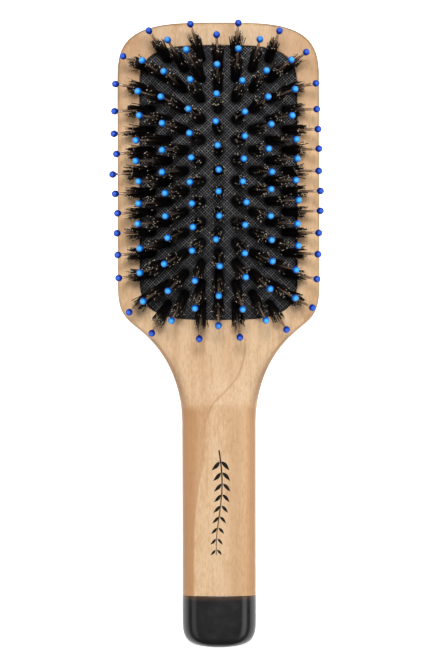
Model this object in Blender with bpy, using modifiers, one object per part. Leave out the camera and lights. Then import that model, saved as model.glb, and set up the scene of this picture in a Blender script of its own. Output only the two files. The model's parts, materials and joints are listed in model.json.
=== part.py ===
"""Air-cushion paddle hairbrush, lying on its back with the bristles up.

Frame: +X to the right, +Y from the handle towards the head, +Z out of the bristle face.
The origin is under the middle of the brush, on the surface that its back lies on.
"""
import math
import random

import bmesh
import bpy
from mathutils import Vector
from mathutils.geometry import interpolate_bezier

# Paddle outline
LENGTH = 0.250
HEAD_HALF_WIDTH = 0.04035
HEAD_END_LENGTH = 0.025       # the rounded end of the head, half a superellipse
HEAD_END_POWER = 3.45
SHOULDER_TOP_Y = 0.020        # the straight sides of the head end here
SHOULDER_TURN = (0.0316, 0.0021)          # where the shoulder turns from convex to hollow
SHOULDER_SLOPE = math.radians(39)         # of the side there, from the X axis
SHOULDER_HANDLES = (0.0112, 0.0077, 0.0225, 0.0056)
NECK_Y = -0.038               # the handle proper starts here
HANDLE_HALF_WIDTH = 0.01475
HANDLE_TAPER = 0.0015         # narrowing per metre of length
HANDLE_END_LENGTH = 0.012
HANDLE_END_POWER = 3.5
END_FLAT = 0.00015            # depth of the small flat facet at either end

# Paddle thickness: a flat board for the head, a fuller rounded bar for the handle
HEAD_THICKNESS = 0.014
HANDLE_THICKNESS = 0.0155
HEAD_EDGE_RADIUS = 0.0020
HANDLE_EDGE_RADIUS = 0.0062
HANDLE_CROWN = 0.0015
HANDLE_LIFT = 0.0006          # the handle's back stands clear of the surface under the head
HANDLE_END_RADIUS = 0.0032
BLEND_START_Y, BLEND_END_Y = -0.015, -0.028     # from the board's section to the bar's

# Lacquer cap on the end of the handle
DIP_LINE_Y = -0.1043
DIP_PROUD = 0.0001            # how far the lacquer stands above the wood
DIP_WALL = 0.0006
GAP = 0.0003                  # between pieces that touch

# Pocket for the cushion, with an undercut groove for its lip
POCKET_Y = 0.0609
POCKET_HALF_WIDTH = 0.0315
POCKET_HALF_LENGTH = 0.0549
POCKET_END_LENGTH = 0.0185
POCKET_END_POWER = 3.4
POCKET_FLOOR_Z = 0.0045
GROOVE_LOW_Z, GROOVE_HIGH_Z = 0.0109, 0.0127
GROOVE_DEPTH = 0.0020

# Cushion: a crowned rubber sheet, pierced for every tuft
SHEET_THICKNESS = 0.0012
FOOT_Z = 0.0124               # top of the lip, where the crown springs from
FOOT_INSET = 0.0005           # the crown stands this far inside the pocket wall
LIP_REACH = 0.0016            # the lip goes this far into the groove
CROWN_HEIGHT = 0.011
CROWN_POWER_X, CROWN_POWER_Y = 2.2, 3.0

# Tuft layout: nine rows along the head, every second one shifted by half a pitch
ROW_COUNT = 9
ROW_PITCH = 0.00672
TUFT_PITCH = 0.00815
LONG_ROW, SHORT_ROW = 13, 12
FIELD_Y = 0.0613
SPLAY_ACROSS, SPLAY_ALONG = 0.0132, 0.0139    # how far the outermost balls lean past their roots
SPLAY_TWIST = -0.0009         # sideways drift of the balls from one end of the rows to the other
SPLAY_SIDE = -0.0004          # drift of the whole field to the left
SPLAY_TILT = -0.00095         # lean of the whole field towards the handle
SPLAY_SEED = 268901
SPLAY_SCATTER = 0.0005

# Pins and tufts, measured along their own axes from the cushion's surface
PIN_LENGTH = 0.0235           # to the middle of the ball
PIN_RADIUS = 0.00055
BALL_RADIUS = 0.0014
BALL_STRETCH = 1.1
TUFT_LENGTH = 0.016
TUFT_ROOT_RADIUS = 0.0016
TUFT_TIP_RADIUS = 0.0023
SIDES = 5                     # of every pin, tuft, bore and hole
BORE_RADIUS = 0.00103
HOLE_RADIUS = 0.00215

# Bands behind the cushion that join the tufts, and the pins, of one row
BAND_HALF_WIDTH = 0.0022
BAND_END = 0.0024
BAND_THICKNESS = 0.0008
TUFT_BAND_DEPTH = 0.0019      # below the cushion's outer surface
PIN_BAND_DEPTH = 0.0031


# ---------------------------------------------------------------- scene set-up

def clear_scene():
    for obj in list(bpy.data.objects):
        bpy.data.objects.remove(obj, do_unlink=True)


def make_collection(name):
    collection = bpy.data.collections.new(name)
    bpy.context.scene.collection.children.link(collection)
    return collection


def make_material(name, colour, roughness, coat=0.0):
    material = bpy.data.materials.new(name)
    material.use_nodes = True
    shader = material.node_tree.nodes["Principled BSDF"]
    shader.inputs["Base Color"].default_value = (*colour, 1.0)
    shader.inputs["Roughness"].default_value = roughness
    shader.inputs["Metallic"].default_value = 0.0
    shader.inputs["Coat Weight"].default_value = coat
    material.diffuse_color = (*colour, 1.0)
    return material


def add_object(name, bm, collection, material=None):
    """Turn a bmesh into a named object with its faces pointing out."""
    bmesh.ops.recalc_face_normals(bm, faces=bm.faces)
    mesh = bpy.data.meshes.new(name)
    bm.to_mesh(mesh)
    bm.free()
    if material:
        mesh.materials.append(material)
        mesh.shade_smooth()
        mesh.set_sharp_from_angle(angle=math.radians(35))
    obj = bpy.data.objects.new(name, mesh)
    collection.objects.link(obj)
    return obj


# ---------------------------------------------------------------- rings and lofts

def superellipse(fraction, power):
    """Half width, 1 to 0, at a fraction of the way along a superellipse quarter."""
    return max(1.0 - min(fraction, 1.0) ** power, 0.0) ** (1.0 / power)


def skin(bm, first, second):
    """Quads between two rings that have the same number of vertices."""
    count = len(first)
    for i in range(count):
        j = (i + 1) % count
        bm.faces.new((first[i], first[j], second[j], second[i]))


def loft(name, rings, collection, material=None):
    """One closed body through a list of rings of points, capped at both ends."""
    bm = bmesh.new()
    loops = [[bm.verts.new(point) for point in ring] for ring in rings]
    for first, second in zip(loops, loops[1:]):
        skin(bm, first, second)
    bm.faces.new(loops[0])
    bm.faces.new(loops[-1])
    return add_object(name, bm, collection, material)


# ---------------------------------------------------------------- paddle

def shoulder_curve():
    """Points (half width, y) down one shoulder, from the head's side to the handle."""
    out, up_turn, down_turn, up_neck = SHOULDER_HANDLES
    turn = Vector((*SHOULDER_TURN, 0.0))
    along = Vector((-math.cos(SHOULDER_SLOPE), -math.sin(SHOULDER_SLOPE), 0.0))
    top = Vector((HEAD_HALF_WIDTH, SHOULDER_TOP_Y, 0.0))
    neck = Vector((HANDLE_HALF_WIDTH, NECK_Y, 0.0))
    down = Vector((0.0, -1.0, 0.0))
    convex = interpolate_bezier(top, top + down * out, turn - along * up_turn, turn, 9)
    hollow = interpolate_bezier(turn, turn + along * down_turn, neck - down * up_neck, neck, 11)
    return [(point.x, point.y) for point in convex[:-1] + hollow]


def half_width(y, shoulder=tuple(shoulder_curve())):
    """Half the paddle's width at y."""
    head_end = LENGTH / 2 - HEAD_END_LENGTH
    handle_end = -LENGTH / 2 + HANDLE_END_LENGTH
    y = min(max(y, -LENGTH / 2 + END_FLAT), LENGTH / 2 - END_FLAT)
    if y > head_end:
        return HEAD_HALF_WIDTH * superellipse((y - head_end) / HEAD_END_LENGTH, HEAD_END_POWER)
    if y >= SHOULDER_TOP_Y:
        return HEAD_HALF_WIDTH
    if y > NECK_Y:
        for (x0, y0), (x1, y1) in zip(shoulder, shoulder[1:]):
            if y1 <= y <= y0:
                return x0 + (x1 - x0) * (y0 - y) / (y0 - y1)
    width = HANDLE_HALF_WIDTH + (y - NECK_Y) * HANDLE_TAPER
    if y < handle_end:
        width *= superellipse((handle_end - y) / HANDLE_END_LENGTH, HANDLE_END_POWER)
    return width


def round_over(distance, radius):
    """How far a rounded end falls away at a distance in from its tip."""
    reach = max(radius - max(distance, END_FLAT), 0.0)
    return radius - math.sqrt(radius * radius - reach * reach)


def section(y, inset=0.0, arc_steps=2):
    """Ring of points across the paddle at y, shrunk all round by inset.

    The blend is squared, so that the handle's top ends in a soft crease across the neck.
    """
    blend = (BLEND_START_Y - y) / (BLEND_START_Y - BLEND_END_Y)
    blend = min(max(blend, 0.0), 1.0) ** 2
    half = half_width(y) - inset
    fall = max(round_over(LENGTH / 2 - y, HEAD_EDGE_RADIUS),
               round_over(y + LENGTH / 2, HANDLE_END_RADIUS))
    low = blend * HANDLE_LIFT + fall + inset
    high = HEAD_THICKNESS + blend * (HANDLE_THICKNESS - HEAD_THICKNESS) - fall - inset
    crown = blend * HANDLE_CROWN * (high - low) / HANDLE_THICKNESS
    radius = HEAD_EDGE_RADIUS + blend * (HANDLE_EDGE_RADIUS - HEAD_EDGE_RADIUS)
    radius = min(radius, (high - low) / 2 - crown - 0.0001, half - 0.001)

    quarter = [(half - radius + radius * math.cos(angle), radius * math.sin(angle) - radius)
               for angle in (math.pi / 2 * i / arc_steps for i in range(arc_steps + 1))]
    quarter.append(((half - radius) * 0.5, 0.0))
    upper = [(x, high + drop - crown * (x / half) ** 2) for x, drop in quarter]
    upper.append((0.0, high))
    upper += [(-x, z) for x, z in upper[-2::-1]]
    lower = [(x, low + high - z) for x, z in reversed(upper)]
    return [(x, y, z) for x, z in upper + lower]


def paddle_stations():
    """Places along Y where the paddle's sections are taken, from the head down."""
    head_end = LENGTH / 2 - HEAD_END_LENGTH
    steps = 8
    stations = [head_end + HEAD_END_LENGTH * math.sin(math.pi / 2 * i / steps)
                for i in range(steps, -1, -1)]
    stations += [y for _, y in shoulder_curve()] + [BLEND_END_Y]
    return sorted(stations, reverse=True)


def handle_end_stations(inset):
    """Places along Y from the dip line to the tip of the handle."""
    start = -LENGTH / 2 + HANDLE_END_LENGTH
    steps = 6
    tip = HANDLE_END_LENGTH - inset
    return [DIP_LINE_Y] + [start - tip * math.sin(math.pi / 2 * i / steps) for i in range(steps + 1)]


def make_wood_body(collection, cutters, material):
    core_inset = DIP_WALL + GAP - DIP_PROUD
    rings = [section(y) for y in paddle_stations()]
    rings.append(section(DIP_LINE_Y))
    rings += [section(y, core_inset) for y in handle_end_stations(core_inset)]
    body = loft("wood_body", rings, collection, material)

    pocket = loft("pocket_cutter", [
        pocket_outline(0.0, POCKET_FLOOR_Z),
        pocket_outline(0.0, GROOVE_LOW_Z),
        pocket_outline(GROOVE_DEPTH, GROOVE_LOW_Z),
        pocket_outline(GROOVE_DEPTH, GROOVE_HIGH_Z),
        pocket_outline(0.0, GROOVE_HIGH_Z),
        pocket_outline(0.0, HEAD_THICKNESS * 1.5)], cutters)
    pocket.hide_render = True
    pocket.display_type = "WIRE"
    cut = body.modifiers.new("pocket", "BOOLEAN")
    cut.operation = "DIFFERENCE"
    cut.solver = "EXACT"
    cut.object = pocket
    return body


def make_handle_dip(collection, material):
    """Thin lacquer cup over the end of the handle: outer skin, rim, inner skin."""
    outer = [section(y, -DIP_PROUD) for y in handle_end_stations(0.0)]
    inner = [section(y, DIP_WALL - DIP_PROUD) for y in handle_end_stations(DIP_WALL - DIP_PROUD)]
    outer[0] = [(x, y - GAP, z) for x, y, z in outer[0]]
    inner[0] = [(x, y - GAP, z) for x, y, z in inner[0]]
    return loft("handle_dip", outer[::-1] + inner, collection, material)


# ---------------------------------------------------------------- cushion

def pocket_outline(grow, z, corner_steps=9):
    """Outline of the cushion's pocket, moved out by grow, at height z."""
    width = POCKET_HALF_WIDTH + grow
    end = POCKET_END_LENGTH + grow
    straight = POCKET_HALF_LENGTH - POCKET_END_LENGTH
    quarter = []
    for i in range(corner_steps + 1):
        angle = math.pi / 2 * i / corner_steps
        quarter.append((width * math.cos(angle) ** (2 / POCKET_END_POWER),
                        straight + end * math.sin(angle) ** (2 / POCKET_END_POWER)))
    half = quarter + [(-x, y) for x, y in quarter[-2::-1]]
    ring = half + [(-x, -y) for x, y in half]
    return [(x, POCKET_Y + y, z) for x, y in ring]


def crown_height(x, y):
    """Height of the cushion's outer surface above its foot."""
    across = abs(x) / (POCKET_HALF_WIDTH - FOOT_INSET)
    along = abs(y - POCKET_Y) / (POCKET_HALF_LENGTH - FOOT_INSET)
    fullness_x = max(1.0 - across ** CROWN_POWER_X, 0.0)
    fullness_y = max(1.0 - along ** CROWN_POWER_Y, 0.0)
    return CROWN_HEIGHT * fullness_x * fullness_y


def cushion_z(x, y):
    return FOOT_Z + crown_height(x, y)


def polygon(centre, radius, sides):
    """Level polygon with a corner towards +X."""
    return [(centre[0] + radius * math.cos(2 * math.pi * i / sides),
             centre[1] + radius * math.sin(2 * math.pi * i / sides), 0.0) for i in range(sides)]


def fill_sheet(bm, loops, height):
    """Flat sheet inside the first loop, with the others as holes, then raised to height(x, y)."""
    rings = [[bm.verts.new(point) for point in loop] for loop in loops]
    edges = []
    for ring in rings:
        edges += [bm.edges.new((ring[i], ring[(i + 1) % len(ring)])) for i in range(len(ring))]
    bmesh.ops.triangle_fill(bm, use_beauty=True, edges=edges, normal=(0.0, 0.0, 1.0))
    for ring in rings:
        for vert in ring:
            vert.co.z = height(vert.co.x, vert.co.y)
    return rings


def make_cushion(collection, tufts, material):
    bm = bmesh.new()
    foot = pocket_outline(-FOOT_INSET, 0.0)
    holes = [polygon(base, HOLE_RADIUS, SIDES) for row in tufts for base, _ in row]
    rings = fill_sheet(bm, [foot] + holes, cushion_z)
    for vert in rings[0]:
        vert.co.z = FOOT_Z
    lip = [bm.verts.new(point) for point in pocket_outline(LIP_REACH, FOOT_Z)]
    skin(bm, rings[0], lip)
    cushion = add_object("cushion_membrane", bm, collection, material)
    if cushion.data.polygons[0].normal.z < 0.0:
        cushion.data.flip_normals()
    sheet = cushion.modifiers.new("sheet", "SOLIDIFY")
    sheet.thickness = SHEET_THICKNESS
    sheet.offset = -1.0
    return cushion


# ---------------------------------------------------------------- pins and tufts

def levelled(share):
    """The share itself, but levelling off as it comes up to 1."""
    return share * (1.13 - 0.13 * abs(share) ** 10)


def splay_direction(x, y, scatter):
    """Direction in which the tuft rooted at (x, y) points."""
    across = x / (ROW_PITCH * (ROW_COUNT // 2))
    along = (y - FIELD_Y) / (TUFT_PITCH * (LONG_ROW // 2))
    lean_x = SPLAY_ACROSS * levelled(across) * (1.0 - 0.49 * abs(along) ** 5.9)
    lean_x += SPLAY_TWIST * along + SPLAY_SIDE
    share = 1.0 - 1.35 * abs(across) ** 1.95 + 0.95 * abs(across * along) ** 2.06
    lean_y = SPLAY_ALONG * levelled(along) * abs(along) * share
    lean_y += SPLAY_TILT * (1.0 - 0.5 * abs(along) - 0.5 * across)
    lean_x += scatter.gauss(0.0, SPLAY_SCATTER)
    lean_y += scatter.gauss(0.0, SPLAY_SCATTER)
    out_x, out_y = lean_x / PIN_LENGTH, lean_y / PIN_LENGTH
    return Vector((out_x, out_y, math.sqrt(1.0 - out_x ** 2 - out_y ** 2)))


def tuft_layout():
    """Rows of (base point on the cushion, direction), the rows counted from -X to +X."""
    scatter = random.Random(SPLAY_SEED)
    rows = []
    for row in range(ROW_COUNT):
        offset = row - ROW_COUNT // 2
        count = LONG_ROW if offset % 2 else SHORT_ROW
        x = offset * ROW_PITCH
        tufts = []
        for k in range(count):
            y = FIELD_Y + (k - (count - 1) / 2) * TUFT_PITCH
            tufts.append((Vector((x, y, cushion_z(x, y))), splay_direction(x, y, scatter)))
        rows.append(tufts)
    return rows


def cross_ring(bm, centre, axis, radius, sides):
    """Ring of vertices square to a leaning axis, with a corner towards +X."""
    side = (Vector((1.0, 0.0, 0.0)) - axis * axis.x).normalized()
    other = axis.cross(side)
    ring = []
    for i in range(sides):
        angle = 2 * math.pi * i / sides
        ring.append(bm.verts.new(centre + side * radius * math.cos(angle)
                                 + other * radius * math.sin(angle)))
    return ring


def root_points(tufts, depth):
    """Where the tufts' axes pass a level that runs at a depth under the cushion's surface."""
    return [base - direction * depth * direction.z for base, direction in tufts]


def band_outline(roots):
    """Narrow band round a row of roots, in plan, with a corner pair at every second root."""
    guides = roots[:-1:2] + roots[-1:]
    right = [(p.x + BAND_HALF_WIDTH, p.y, 0.0) for p in guides]
    left = [(p.x - BAND_HALF_WIDTH, p.y, 0.0) for p in guides]
    first, last = roots[0], roots[-1]
    low_end = [(first.x - BAND_HALF_WIDTH * 0.6, first.y - BAND_END, 0.0),
               (first.x + BAND_HALF_WIDTH * 0.6, first.y - BAND_END, 0.0)]
    high_end = [(last.x + BAND_HALF_WIDTH * 0.6, last.y + BAND_END, 0.0),
                (last.x - BAND_HALF_WIDTH * 0.6, last.y + BAND_END, 0.0)]
    return low_end + right + high_end + left[::-1]


def depth_below(depth):
    return lambda x, y: cushion_z(x, y) - depth


def make_tuft_row(name, tufts, collection, material):
    """A row of bored, leaning tufts on the band that joins them behind the cushion."""
    bm = bmesh.new()
    roots = root_points(tufts, TUFT_BAND_DEPTH)
    bores = root_points(tufts, TUFT_BAND_DEPTH + BAND_THICKNESS)
    outline = band_outline(roots)
    top = fill_sheet(bm, [outline] + [polygon(p, TUFT_ROOT_RADIUS, SIDES) for p in roots],
                     depth_below(TUFT_BAND_DEPTH))
    bottom = fill_sheet(bm, [outline] + [polygon(p, BORE_RADIUS, SIDES) for p in bores],
                        depth_below(TUFT_BAND_DEPTH + BAND_THICKNESS))
    skin(bm, top[0], bottom[0])
    for (base, axis), root_ring, bore_ring in zip(tufts, top[1:], bottom[1:]):
        tip = base + axis * TUFT_LENGTH
        tip_ring = cross_ring(bm, tip, axis, TUFT_TIP_RADIUS, SIDES)
        bore_mouth = cross_ring(bm, tip, axis, BORE_RADIUS, SIDES)
        skin(bm, root_ring, tip_ring)
        skin(bm, tip_ring, bore_mouth)
        skin(bm, bore_mouth, bore_ring)
    return add_object(name, bm, collection, material)


def make_pin_row(name, tufts, collection, material):
    """A row of leaning pins with ball tips on the band that joins them behind the tufts."""
    bm = bmesh.new()
    roots = root_points(tufts, PIN_BAND_DEPTH)
    outline = band_outline(roots)
    top = fill_sheet(bm, [outline] + [polygon(p, PIN_RADIUS, SIDES) for p in roots],
                     depth_below(PIN_BAND_DEPTH))
    bottom = fill_sheet(bm, [outline], depth_below(PIN_BAND_DEPTH + BAND_THICKNESS))
    skin(bm, top[0], bottom[0])
    neck = math.asin(PIN_RADIUS / BALL_RADIUS)
    latitudes = (neck - math.pi / 2, math.radians(-22), math.radians(38))
    for (base, axis), ring in zip(tufts, top[1:]):
        centre = base + axis * PIN_LENGTH
        for latitude in latitudes:
            rise = axis * BALL_RADIUS * BALL_STRETCH * math.sin(latitude)
            next_ring = cross_ring(bm, centre + rise, axis, BALL_RADIUS * math.cos(latitude),
                                   SIDES)
            skin(bm, ring, next_ring)
            ring = next_ring
        pole = bm.verts.new(centre + axis * BALL_RADIUS * BALL_STRETCH)
        for i in range(SIDES):
            bm.faces.new((ring[i], ring[(i + 1) % SIDES], pole))
    return add_object(name, bm, collection, material)


# ---------------------------------------------------------------- assembly

def main():
    clear_scene()
    parts = make_collection("paddle_hairbrush")
    cutters = make_collection("cutters")

    wood = make_material("pale_wood", (0.72, 0.50, 0.30), 0.42)
    lacquer = make_material("black_lacquer", (0.018, 0.017, 0.018), 0.22, coat=0.5)
    rubber = make_material("cushion_rubber", (0.020, 0.020, 0.022), 0.75)
    nylon = make_material("blue_tipped_nylon", (0.03, 0.20, 0.52), 0.25)
    bristle = make_material("dark_bristle", (0.035, 0.028, 0.022), 0.60)

    tufts = tuft_layout()
    make_wood_body(parts, cutters, wood)
    make_handle_dip(parts, lacquer)
    make_cushion(parts, tufts, rubber)
    for number, row in enumerate(tufts, start=1):
        make_tuft_row(f"tuft_row_{number}", row, parts, bristle)
        make_pin_row(f"pin_row_{number}", row, parts, nylon)


main()
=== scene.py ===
"""The looks of the air-cushion paddle hairbrush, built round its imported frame.

Same frame as the part: +X right, +Y towards the head, +Z out of the bristle face, metres.
"""
import json
import math
import random

import bmesh
import bpy
import numpy as np
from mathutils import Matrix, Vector
from mathutils.geometry import interpolate_bezier


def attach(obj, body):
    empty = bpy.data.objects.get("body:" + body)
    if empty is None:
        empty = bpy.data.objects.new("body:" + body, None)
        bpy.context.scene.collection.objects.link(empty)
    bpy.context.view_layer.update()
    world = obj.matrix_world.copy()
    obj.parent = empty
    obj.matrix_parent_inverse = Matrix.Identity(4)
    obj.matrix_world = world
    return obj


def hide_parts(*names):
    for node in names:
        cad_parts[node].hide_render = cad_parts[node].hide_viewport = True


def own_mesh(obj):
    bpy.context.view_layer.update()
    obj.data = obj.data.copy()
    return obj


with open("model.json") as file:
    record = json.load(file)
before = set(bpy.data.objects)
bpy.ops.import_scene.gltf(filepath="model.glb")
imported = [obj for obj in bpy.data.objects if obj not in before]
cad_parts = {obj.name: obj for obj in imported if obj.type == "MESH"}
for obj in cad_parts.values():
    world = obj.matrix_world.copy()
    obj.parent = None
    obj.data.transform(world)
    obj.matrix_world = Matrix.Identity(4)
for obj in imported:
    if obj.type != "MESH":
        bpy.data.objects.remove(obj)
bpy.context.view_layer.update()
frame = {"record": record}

MM = 0.001

# Paddle outline and thickness, as in the part
LENGTH = 0.250
HEAD_HALF_WIDTH = 0.04035
HEAD_END_LENGTH = 0.025
HEAD_END_POWER = 3.45
SHOULDER_TOP_Y = 0.020
SHOULDER_TURN = (0.0316, 0.0021)
SHOULDER_SLOPE = math.radians(39)
SHOULDER_HANDLES = (0.0112, 0.0077, 0.0225, 0.0056)
NECK_Y = -0.038
HANDLE_HALF_WIDTH = 0.01475
HANDLE_TAPER = 0.0015
HANDLE_END_LENGTH = 0.012
HANDLE_END_POWER = 3.5
HEAD_THICKNESS = 0.014
HANDLE_THICKNESS = 0.0155
HEAD_EDGE_RADIUS = 0.0020
HANDLE_EDGE_RADIUS = 0.0062
HANDLE_CROWN = 0.0015
HANDLE_LIFT = 0.0006
HANDLE_END_RADIUS = 0.0032
BLEND_START_Y, BLEND_END_Y = -0.015, -0.028
DIP_LINE_Y = -0.1043
DIP_PROUD = 0.0001
DIP_WALL = 0.0006

# Pocket and cushion, as in the part
POCKET_Y = 0.0609
POCKET_HALF_WIDTH = 0.0315
POCKET_HALF_LENGTH = 0.0549
POCKET_END_LENGTH = 0.0185
POCKET_END_POWER = 3.4
POCKET_FLOOR_Z = 0.0045
GROOVE_LOW_Z, GROOVE_HIGH_Z = 0.0109, 0.0127
GROOVE_DEPTH = 0.0020
SHEET_THICKNESS = 0.0012
FOOT_Z = 0.0124
FOOT_INSET = 0.0005
LIP_REACH = 0.0016
CROWN_HEIGHT = 0.011
CROWN_POWER_X, CROWN_POWER_Y = 2.2, 3.0

# Tufts and pins, as in the part
ROW_COUNT = 9
ROW_PITCH = 0.00672
TUFT_PITCH = 0.00815
LONG_ROW, SHORT_ROW = 13, 12
FIELD_Y = 0.0613
SPLAY_ACROSS, SPLAY_ALONG = 0.0132, 0.0139
SPLAY_TWIST = -0.0009
SPLAY_SIDE = -0.0004
SPLAY_TILT = -0.00095
SPLAY_SEED = 268901
SPLAY_SCATTER = 0.0005
SPLAY_LEVEL, SPLAY_LEVEL_POWER = 0.13, 10          # how the lean levels off in the outermost tufts
SPLAY_END_LOSS, SPLAY_END_POWER = 0.49, 5.9        # sideways lean lost at the ends of the rows
SPLAY_SIDE_LOSS, SPLAY_SIDE_POWER = 1.35, 1.95     # lengthwise lean lost in the outer rows
SPLAY_CORNER_GAIN, SPLAY_CORNER_POWER = 0.95, 2.06    # and what of it comes back at the corners
PIN_LENGTH = 0.0235
BALL_RADIUS = 0.0014
BALL_STRETCH = 1.1

# Fine detail of the paddle that only the looks have
END_FLAT = 0.00002            # how near to its two ends the paddle's outline is followed
LEAST_SIDE, LEAST_FACE = 0.0001, 0.001    # what the rounded edges leave of the sides and the face
HEAD_END_STEPS, HANDLE_STEPS = 26, 8
HEAD_SHADE_REACH, HANDLE_SHADE_REACH = 0.0011, 0.0026    # width of the painted shade along the wood's rounded rim
EDGE_TURN_Y, EDGE_TURN_SPAN = BLEND_START_Y + 0.02, 0.03    # where the one passes into the other
NECK_SHADE_EXTRA, NECK_SHADE_Y, NECK_SHADE_SPAN = 0.0020, -0.018, 0.018    # wider round the neck
SHADE_DEPTH = 0.0040            # how far the painted shade comes down the sides
SHADE_BELOW = 0.3               # and how much of it is left further down
# The pocket's rounded rim: (out from its wall, up from the wood's face)
POCKET_RIM = ((0.0, -0.00035), (0.00010, -0.00012), (0.00038, 0.00005))
# The rounded edge of the lacquer: (below the dip line, in from the wood's outline)
DIP_BEAD = ((0.0, 0.00002), (0.00006, -0.6 * DIP_PROUD), (0.00014, -DIP_PROUD), (0.0003, -DIP_PROUD))
DIP_GAP = 0.0001              # between the lacquer's inner skin and the wood
FACE_ANGLE, WOOD_ANGLE, SOFT_ANGLE = 40.0, 32.0, 80.0    # edges above these stay sharp

# Fine detail of the cushion, tufts and pins
DIMPLE_DEPTH, DIMPLE_RADIUS = 0.00045, 0.0019
TUFT_SHADE_REACH = 0.0032         # how far from a tuft's middle the cloth lies in its shade
THREAD_PITCH = 0.000875       # of the cushion's cloth, square to the threads
FILAMENTS = 100               # bristles in a tuft
FILAMENT_RADIUS = 0.00012
FILAMENT_SIDES = 3
FILAMENT_SEED = 100
FILAMENT_STOPS = (0.0, 0.35, 0.70, 0.92, 1.0)
FILAMENT_TAPER, TAPER_POWER = 0.45, 4
CLUMPS = 10                   # that the tips gather into
CLUMP_TURN = (-0.3, 0.3)      # of a clump's share of the circle
CLUMP_REACH = (0.55, 1.10)    # of the flared radius
CLUMP_PULL = (0.35, 0.80)     # how far the tips are drawn to their clump
COARSE_RADIUS = 0.00020       # of the coarse, pale-tipped bristles
COARSE_SHARE, COARSE_PULL, COARSE_REACH = 0.15, 0.10, (0.85, 1.45)
STRAY_SHARE, STRAY_REACH = 0.06, (1.2, 1.8)
TIP_SCATTER = 0.00018
FINE_TONES = (0.0, 0.6)       # the coarse bristles have tone 1
TUFT_LENGTH = 0.0151
SHORTER_TO_RIGHT, SHORTER_TO_SIDES = 0.075, 0.105    # loss of length by place across the rows
CLUMP_UNEVEN, FILAMENT_UNEVEN = 0.05, 0.055
LENGTH_LIMITS = (0.78, 1.13)
TUFT_ROOT = 0.0017
TUFT_CORE = 0.13              # share of the root's area that is left to the pin
TUFT_DEPTH = 0.0008           # how far under the cloth the bristles start
TUFT_FLARE, FLARE_POWER = 1.48, 1.4
GOLDEN_ANGLE = math.radians(137.508)
SHAFT_RADIUS = 0.0005
SHAFT_SIDES = 14
SHAFT_DEPTH = 0.0015          # how far under the cloth the pins start
BALL_STEPS = 13
BALL_NECK = 0.50              # angle from a ball's lower pole to where it starts
COLLAR_WIDENING = 1.12        # of the shaft just under its ball
# The balls that stand outside this get painted shade, a deeper blue
DEEP_RING_Y, DEEP_RING_HALF_WIDTH, DEEP_RING_HALF_LENGTH = 0.0601, 0.0326, 0.0553
DEEP_RING_FADE = 0.002

# The sprig that stands in for the printing
SPRIG_START_Y, SPRIG_END_Y = -0.046, -0.088
SPRIG_SWAY, SPRIG_WAVES = 0.0012, 0.8
SPRIG_STEPS = 48
STEM_HALF_WIDTH, STEM_TAPER = 0.00030, 0.6
LEAF_PAIRS, FIRST_LEAF, LAST_LEAF = 9, 0.10, 0.94
LEAF_LENGTH, LEAF_WIDTH, LEAF_TAPER = 0.0050, 0.00100, 0.45
LEAF_STEPS, LEAF_TURN = 12, math.radians(42)
LEAF_STALK, LEAF_FULLNESS, LEAF_UNDERSIDE = 0.0005, 0.8, 0.6
LEAF_LEAST = 0.00002          # half width at its ends
INK = 0.00002                 # half its thickness

# Studio and camera
FLOOR_HALF, FLOOR_DROP, FLOOR_GLOW = 60.0, 0.0002, 0.78
HORIZON = {"From Min": 0.06, "From Max": 0.20, "To Min": 0.95, "To Max": 0.17}
LIGHT_TARGET = Vector((0.0, 0.0, 0.01))
IMAGE_HEIGHT, PIXELS_PER_METRE = 669, 2502.0
CAMERA_DISTANCE, CAMERA_CLIP_END, SENSOR_WIDTH = 1.6, 200.0, 36.0
CAMERA_X, CAMERA_Y, CAMERA_TURN = -0.0007, 0.00016, math.radians(-0.12)


# ---------------------------------------------------------------- materials

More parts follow.
